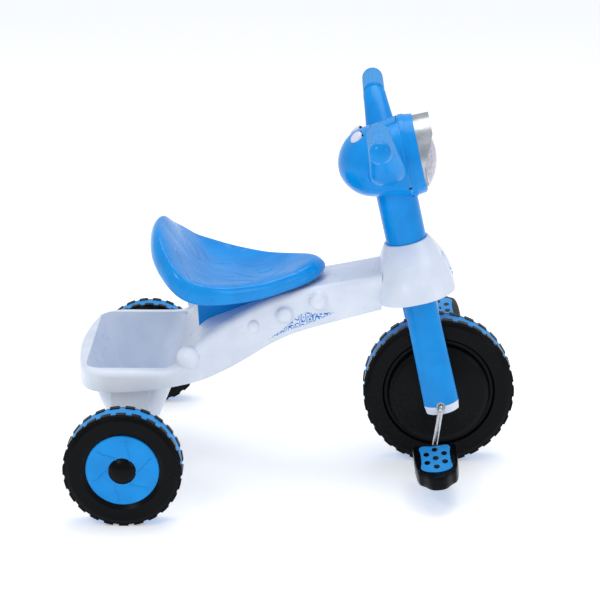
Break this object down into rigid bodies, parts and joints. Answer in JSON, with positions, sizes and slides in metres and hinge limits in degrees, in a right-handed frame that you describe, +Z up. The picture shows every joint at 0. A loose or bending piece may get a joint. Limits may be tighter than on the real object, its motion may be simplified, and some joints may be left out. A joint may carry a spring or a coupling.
{
  "type": "children's tricycle",
  "caption": "Children's pedal tricycle: lugged front drive wheel on a leaning fork, dished saddle, rear toy basket, ball-shaped head with lamp and handlebar.",
  "frame": {"origin": "on the floor, in the middle of the overall length and width", "axes": "+X forward, +Y to the rider's left, +Z up"},
  "size_m": [0.6324, 0.5312, 0.5371],
  "materials": {
    "white_plastic": "glossy injection-moulded polypropylene",
    "blue_plastic": "glossy injection-moulded polypropylene",
    "soft_blue_plastic": "satin moulded plastic",
    "black_plastic": "satin blow-moulded plastic",
    "acetal": "natural bearing plastic",
    "zinc_steel": "zinc-plated steel",
    "plated_plastic": "metallised plastic",
    "clear_lens": "frosted clear plastic",
    "lamp_resin": "cast resin",
    "button_plastic": "glossy pale plastic",
    "board": "lacquered board",
    "cell_sleeve": "printed sleeve",
    "badge_print": "printed film on plastic"
  },
  "bodies": {
    "frame": {"rear_basket": "white_plastic", "front_beam": "white_plastic", "rear_axle": "zinc_steel", "axle_bushes": "acetal", "axle_spacers": "acetal", "axle_push_nuts": "zinc_steel", "body_joint_screws": "zinc_steel", "seat": "blue_plastic", "seat_pedestal": "blue_plastic", "seat_screws": "zinc_steel", "steering_bush": "acetal", "front_badge": "badge_print"},
    "steering": {"fork": "blue_plastic", "left_leg_cap": "white_plastic", "right_leg_cap": "white_plastic", "fork_bushes": "acetal", "column": "blue_plastic", "thrust_washer": "acetal", "head_shell": "blue_plastic", "dashboard_panel": "blue_plastic", "head_bezel": "blue_plastic", "lamp_hood": "plated_plastic", "lens": "clear_lens", "reflector": "plated_plastic", "lamp_led": "lamp_resin", "circuit_board": "board", "speaker": "black_plastic", "battery_tray": "black_plastic", "batteries": "cell_sleeve", "left_button_switch": "black_plastic", "right_button_switch": "black_plastic", "left_handlebar": "blue_plastic", "right_handlebar": "blue_plastic", "left_grip": "soft_blue_plastic", "right_grip": "soft_blue_plastic", "head_screws": "zinc_steel", "handlebar_screws": "zinc_steel"},
    "front_wheel": {"front_wheel_left": "black_plastic", "front_wheel_right": "black_plastic", "front_tread_band": "soft_blue_plastic", "crank_rod": "zinc_steel", "wheel_lock_washers": "zinc_steel"},
    "left_pedal": {"left_pedal": "black_plastic", "left_pedal_pad_top": "soft_blue_plastic", "left_pedal_pad_bottom": "soft_blue_plastic"},
    "right_pedal": {"right_pedal": "black_plastic", "right_pedal_pad_top": "soft_blue_plastic", "right_pedal_pad_bottom": "soft_blue_plastic"},
    "left_rear_wheel": {"left_rear_wheel_outer": "black_plastic", "left_rear_wheel_inner": "black_plastic", "left_rear_tread_band": "soft_blue_plastic", "left_wheel_disc": "blue_plastic", "left_hubcap": "black_plastic"},
    "right_rear_wheel": {"right_rear_wheel_outer": "black_plastic", "right_rear_wheel_inner": "black_plastic", "right_rear_tread_band": "soft_blue_plastic", "right_wheel_disc": "blue_plastic", "right_hubcap": "black_plastic"},
    "left_button": {"left_button": "button_plastic"},
    "right_button": {"right_button": "button_plastic"}
  },
  "joints": [
    {"name": "steering_turn", "type": "hinge", "parent": "frame", "child": "steering", "pos_m": [0.20625, 0, 0.11], "axis": [-0.2164, 0, 0.9763], "range_deg": [-35, 35]},
    {"name": "front_wheel_spin", "type": "hinge", "parent": "steering", "child": "front_wheel", "pos_m": [0.20625, 0, 0.11], "axis": [0, 1, 0], "continuous": true},
    {"name": "left_pedal_spin", "type": "hinge", "parent": "front_wheel", "child": "left_pedal", "pos_m": [0.21488, 0.16, 0.1714], "axis": [0, 1, 0], "continuous": true},
    {"name": "right_pedal_spin", "type": "hinge", "parent": "front_wheel", "child": "right_pedal", "pos_m": [0.19762, -0.16, 0.0486], "axis": [0, 1, 0], "continuous": true},
    {"name": "left_rear_wheel_spin", "type": "hinge", "parent": "frame", "child": "left_rear_wheel", "pos_m": [-0.23475, 0.2386, 0.0815], "axis": [0, 1, 0], "continuous": true},
    {"name": "right_rear_wheel_spin", "type": "hinge", "parent": "frame", "child": "right_rear_wheel", "pos_m": [-0.23475, -0.2386, 0.0815], "axis": [0, 1, 0], "continuous": true},
    {"name": "left_button_press", "type": "slide", "parent": "steering", "child": "left_button", "axis": [0.6901, -0.338, -0.6399], "range_m": [0, 0.002], "stiffness_N_per_m": 300},
    {"name": "right_button_press", "type": "slide", "parent": "steering", "child": "right_button", "axis": [0.6901, 0.338, -0.6399], "range_m": [0, 0.002], "stiffness_N_per_m": 300}
  ]
}
